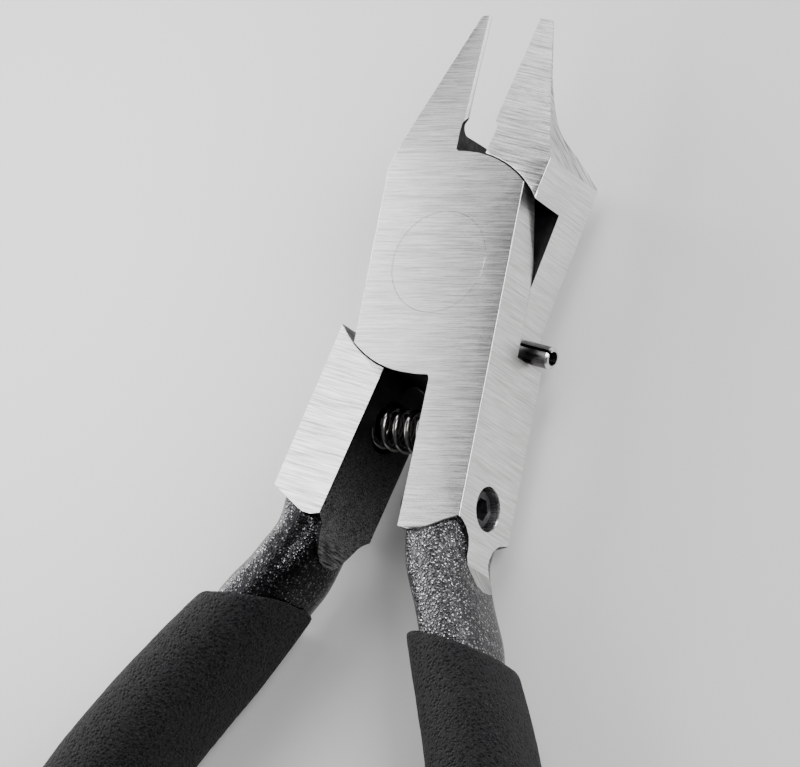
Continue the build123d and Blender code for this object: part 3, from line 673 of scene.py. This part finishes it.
# painted shade: the rear lever's inner side gets the dark inner-side steel
idx[inner] = 3
common_parts(c, n, (np.abs(n[:, 0]) > 0.98) & (np.abs(np.abs(c[:, 0]) - HALF_W) < 0.75) & (c[:, 1] > -26.0) & (np.abs(c[:, 0]) > HALF_W - 0.05), idx)
facet = (n[:, 0] > 0.3) & (n[:, 1] > 0.12) & (np.abs(n[:, 2]) < 0.4) & (c[:, 1] > 6.0) & (c[:, 0] > 2.5)
idx[facet] = 7
rear_fillet = (np.abs(n[:, 2]) < 0.3) & (np.abs(c[:, 0]) < 3.2) & (c[:, 1] < -11.5) & (c[:, 1] > -13.5)
idx[rear_fillet] = 3
seat_hole = (np.hypot(c[:, 1] - SPRING_Y, c[:, 2] - ZM) < SEAT_R + 0.03) & (c[:, 0] < SEAT_FACE_REAR + 0.3) & (c[:, 0] > SEAT_FACE_REAR - SEAT_DEPTH - 0.1)
seat_hole &= ~((n[:, 0] > 0.97) & (c[:, 0] > SEAT_FACE_REAR - 0.8))
# painted shade in the spring's seat hole
idx[seat_hole] = 6
rear.data.polygons.foreach_set("material_index", idx.astype(np.int32))

for o, node, body in ((front, "front_lever", "front_half"), (rear, "rear_lever", "rear_half")):
    weighted(o)
    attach(o, body)
    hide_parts(node)


# ---------------------------------------------------------------- rivet: turned, with hairline broken rims
def lathe(profile, steps, name):
    """Revolve (radius, height) points in mm about the pivot axis; first and last points are on the axis."""
    bm = bmesh.new()
    rings = []
    for r, z in profile:
        if r < 1e-9:
            rings.append([bm.verts.new((0, 0, z * MM))])
        else:
            rings.append([bm.verts.new((r * MM * math.cos(2 * math.pi * i / steps), r * MM * math.sin(2 * math.pi * i / steps), z * MM)) for i in range(steps)])
    for a, b in zip(rings, rings[1:]):
        for i in range(steps):
            j = (i + 1) % steps
            va = [a[i % len(a)]] if len(a) == 1 else [a[i], a[j]]
            vb = [b[i % len(b)]] if len(b) == 1 else [b[j], b[i]]
            bm.faces.new(va + vb)
    bmesh.ops.recalc_face_normals(bm, faces=bm.faces)
    for e in bm.edges:
        e.smooth = not (len(e.link_faces) == 2 and e.calc_face_angle(0.0) > math.radians(35))
    for f in bm.faces:
        f.smooth = True
    me = bpy.data.meshes.new(name)
    bm.to_mesh(me)
    bm.free()
    return me


R1, R2 = RIVET_HEAD_R, RIVET_SHANK_R
profile = [(0, 0.0), (2.6, 0.0), (R1 - 0.05, 0.0), (R1 - 0.006, 0.05), (R1 - 0.006, 0.55), (R2 - 0.01, 2.10), (R2 - 0.01, T - 2.10),
           (R1 - 0.006, T - 0.55), (R1 - 0.006, T - 0.05), (R1 - 0.05, T), (2.6, T), (0, T)]
rivet = new_object("flush_rivet", lathe(profile, 144, "flush_rivet"))
rivet.data.materials.append(MAT["rivet_ground"])
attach(rivet, "front_half")
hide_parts("pivot_rivet")


# ---------------------------------------------------------------- return spring: closed, ground ends
def tube(points, radius, sides, name, closed_caps=True):
    """A tube through points (mm) with frames carried along without twist."""
    pts = [Vector(p) for p in points]
    tang_ = [(pts[min(i + 1, len(pts) - 1)] - pts[max(i - 1, 0)]).normalized() for i in range(len(pts))]
    ref = Vector((0, 0, 1)) if abs(tang_[0].z) < 0.9 else Vector((1, 0, 0))
    u = (ref - tang_[0] * ref.dot(tang_[0])).normalized()
    bm = bmesh.new()
    rings = []
    for i, p in enumerate(pts):
        u = (u - tang_[i] * u.dot(tang_[i])).normalized()
        w = tang_[i].cross(u)
        k = 1.0
        rings.append([bm.verts.new((p + (u * math.cos(2 * math.pi * j / sides) + w * math.sin(2 * math.pi * j / sides)) * radius * k) * MM) for j in range(sides)])
    for a, b in zip(rings, rings[1:]):
        for j in range(sides):
            q = (j + 1) % sides
            bm.faces.new((a[j], a[q], b[q], b[j]))
    for ring, tdir in ((rings[0], -1), (rings[-1], 1)):
        bm.faces.new(ring if tdir < 0 else list(reversed(ring)))
    bmesh.ops.recalc_face_normals(bm, faces=bm.faces)
    for e in bm.edges:
        e.smooth = not (len(e.link_faces) == 2 and e.calc_face_angle(0.0) > math.radians(50))
    for f in bm.faces:
        f.smooth = True
    me = bpy.data.meshes.new(name)
    bm.to_mesh(me)
    bm.free()
    return me


rear_floor = Vector(opened((SEAT_FACE_REAR - SEAT_DEPTH, SPRING_Y, ZM)))
front_floor = Vector((SEAT_FACE_FRONT + SEAT_DEPTH, SPRING_Y, ZM))
chord = (front_floor - rear_floor).length
out_dir = Vector(opened((1, 0, 0)))
in_dir = Vector((1, 0, 0))


def axis_at(t):
    """Point and direction on the spring's slightly bowed axis: it leaves each seat floor squarely."""
    h00, h10, h01, h11 = 2 * t ** 3 - 3 * t ** 2 + 1, t ** 3 - 2 * t ** 2 + t, -2 * t ** 3 + 3 * t ** 2, t ** 3 - t ** 2
    p = rear_floor * h00 + out_dir * (h10 * chord) + front_floor * h01 + in_dir * (h11 * chord)
    g00, g10, g11 = 6 * t ** 2 - 6 * t, 3 * t ** 2 - 4 * t + 1, 3 * t ** 2 - 2 * t
    d = rear_floor * g00 + out_dir * (g10 * chord) - front_floor * g00 + in_dir * (g11 * chord)
    return p, d.normalized()


END_GAP = SPRING_WIRE_R + 0.05
END_PITCH, END_TURNS = 0.64, 1.0
length = chord - 2 * END_GAP
mid_turns = (length - 2 * END_PITCH * END_TURNS) / SPRING_PITCH
turns = mid_turns + 2 * END_TURNS
COIL_PHASE = 0.0
steps = int(turns * 36)
pts = []
for i in range(steps + 1):
    q = turns * i / steps
    blend_t = 0.35
    if q < END_TURNS:
        h = END_PITCH * q
    elif q > turns - END_TURNS:
        h = length - END_PITCH * (turns - q)
    else:
        h = END_PITCH * END_TURNS + SPRING_PITCH * (q - END_TURNS)
    # soften the two changes of pitch
    for edge, sgn in ((END_TURNS, 1), (turns - END_TURNS, -1)):
        d = (q - edge) * sgn
        if abs(d) < blend_t:
            h += sgn * (SPRING_PITCH - END_PITCH) * (blend_t - abs(d)) ** 2 / (4 * blend_t)
    a = COIL_PHASE + 2 * math.pi * q
    p, d = axis_at((END_GAP + h) / chord)
    across = Vector((-d.y, d.x, 0))
    pts.append(p + across * (SPRING_R * math.sin(a)) - Vector((0, 0, SPRING_R * math.cos(a))))
spring = new_object("coil_spring", tube(pts, SPRING_WIRE_R, 16, "coil_spring"))
spring.data.materials.append(MAT["wire"])
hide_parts("return_spring")
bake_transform(spring, "front_half", "rear_half", start=tuple(front_floor * MM), end=tuple(rear_floor * MM))


# ---------------------------------------------------------------- pin and screw
pin = node_copy("opening_stop_pin", "stop_pin", 32.0)
pin.data.materials.append(MAT["pin"])
pin.data.materials.append(MAT["pin_rim_painted_highlight"])
c, n = to_closed(*face_table(pin.data))
# painted highlight: the faces at the pin's outer end get the bright rim copy
rim = (c[:, 0] > HALF_W + PIN_OUT - 0.32) & (n[:, 0] > 0.2)
pin.data.polygons.foreach_set("material_index", rim.astype(np.int32))
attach(pin, "rear_half")
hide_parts("opening_stop_pin")

screw = node_copy("closing_stop_screw", "stop_screw", 32.0)
screw.data.materials.append(MAT["screw"])
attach(screw, "front_half")
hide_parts("closing_stop_screw")


# ---------------------------------------------------------------- foam grips
def lifted_end(co, left, right_, reach=9.0):
    """Slant a sleeve's upper end: shifts along its axis (mm) at the two sides of the rim, fading out down the sleeve."""
    top = co[co[:, 1] > co[:, 1].max() - 2.0 * MM].mean(axis=0)
    near = co[np.linalg.norm(co - top, axis=1) < 11.0 * MM].mean(axis=0)
    axis = (top - near) / np.linalg.norm(top - near)
    side_ = np.array((0.84684384, 0.18491768, -0.49865917))
    side_ = side_ - axis * side_.dot(axis)
    side_ /= np.linalg.norm(side_)
    s = (co - top) @ axis
    lat = (co - top) @ side_
    rim_ = s > s.max() - 3.0 * MM
    lo_, hi_ = lat[rim_].min(), lat[rim_].max()
    across = np.clip((lat - lo_) / (hi_ - lo_), -0.2, 1.2)
    w = np.clip(1.0 - (s.max() - s) / (reach * MM), 0.0, 1.0)
    w = w * w * (3 - 2 * w)
    return co + axis * (w * (left + (right_ - left) * across) * MM)[:, None]


def foam_grip(node, name, body, mat, seed, slant):
    """Foam sleeve: the CAD form remeshed evenly, its ends rounded as foam is, its skin slightly uneven."""
    o = node_copy(node, name, 60.0)
    r = o.modifiers.new("even", "REMESH")
    r.mode = "VOXEL"
    r.voxel_size = 0.00034
    r.use_smooth_shade = True
    s = o.modifiers.new("round", "SMOOTH")
    s.factor = 0.5
    s.iterations = 14
    baked(o)
    me = o.data
    nv = len(me.vertices)
    co = np.empty(nv * 3)
    me.vertices.foreach_get("co", co)
    co = co.reshape(-1, 3)
    nr = np.array([v.normal for v in me.vertices])
    d = np.zeros(nv)
    off = Vector((seed * 3.1, seed * 1.7, seed * 2.3))
    for i in range(nv):
        p = Vector(co[i])
        d[i] = (noise.noise(p * 130 + off) * 0.055 + noise.noise(p * 420 + off) * 0.030 + noise.noise(p * 1500 + off) * 0.022)
    co = lifted_end(co + nr * (d[:, None] * MM), *slant)
    me.vertices.foreach_set("co", co.ravel())
    me.update()
    for p in me.polygons:
        p.use_smooth = True
    me.materials.clear()
    me.materials.append(MAT[mat])
    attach(o, body)
    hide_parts(node)
    return o


grip_f = foam_grip("front_grip", "foam_sleeve_front", "front_half", "foam_front", 0.0, (0.75, 0.25))
grip_r = foam_grip("rear_grip", "foam_sleeve_rear", "rear_half", "foam_rear", 2.0, (-0.25, 0.85))


# ---------------------------------------------------------------- floor, lights, world
lo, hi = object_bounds()
floor_z = lo.z - 0.00002
bm = bmesh.new()
vs = [bm.verts.new((x, y, floor_z)) for x, y in ((-1.6, -1.6), (1.6, -1.6), (1.6, 1.6), (-1.6, 1.6))]
bm.faces.new(vs)
fm = bpy.data.meshes.new("floor")
bm.to_mesh(fm)
bm.free()
floor = new_object("floor", fm)
floor.data.materials.append(MAT["floor"])


def softbox(name, where, target, size, power, size_y=None, color=(1, 1, 1), spread=math.pi):
    l = bpy.data.lights.new(name, "AREA")
    l.shape = "RECTANGLE"
    l.size = size
    l.size_y = size_y or size
    l.energy = power
    l.color = color
    l.spread = spread
    o = bpy.data.objects.new(name, l)
    o.location = where
    o.visible_camera = False
    o.rotation_euler = (Vector(target) - Vector(where)).to_track_quat("-Z", "Y").to_euler()
    bpy.context.scene.collection.objects.link(o)
    return o


def overhead(name, x0_, x1_, y0_, y1_, z, radiance, turn=0.0, about=(0.0, 0.0)):
    """A small diffuser lying level above the part, turned about a point; its radiance is given, not its power."""
    area = (x1_ - x0_) * (y1_ - y0_)
    o = softbox(name, (0, 0, z), (0, 1e-7, 0), x1_ - x0_, radiance * math.pi * area, y1_ - y0_)
    dx, dy = (x0_ + x1_) / 2 - about[0], (y0_ + y1_) / 2 - about[1]
    t = math.radians(turn)
    o.location = (about[0] + dx * math.cos(t) - dy * math.sin(t), about[1] + dx * math.sin(t) + dy * math.cos(t), z)
    o.rotation_euler = (0, 0, t)
    return o


overhead("key_diffuser", -0.092, -0.0325, -0.034, 0.044, 0.0575, 3.4, 9.0, (-0.0325, 0.0214))
overhead("jaw_diffuser", -0.0325, -0.012, 0.037, 0.066, 0.0575, 2.1)
softbox("right_softbox", (0.50, 0.10, 0.36), (0.0, -0.03, 0.0), 0.36, 4.8, 0.40)
softbox("back_softbox", (0.06, 0.58, 0.44), (0.0, -0.03, 0.0), 0.50, 3.2, 0.30)
softbox("left_softbox", (-0.46, -0.20, 0.34), (0.0, -0.05, 0.0), 0.26, 0.9, 0.36)
softbox("low_left_softbox", (-0.42, 0.17, 0.13), (0.0, -0.04, 0.0), 0.16, 2.4, 0.24)

world = bpy.data.worlds.new("studio")
world.use_nodes = True
world.node_tree.nodes["Background"].inputs["Color"].default_value = (0.88, 0.89, 0.92, 1)
world.node_tree.nodes["Background"].inputs["Strength"].default_value = 0.18
bpy.context.scene.world = world
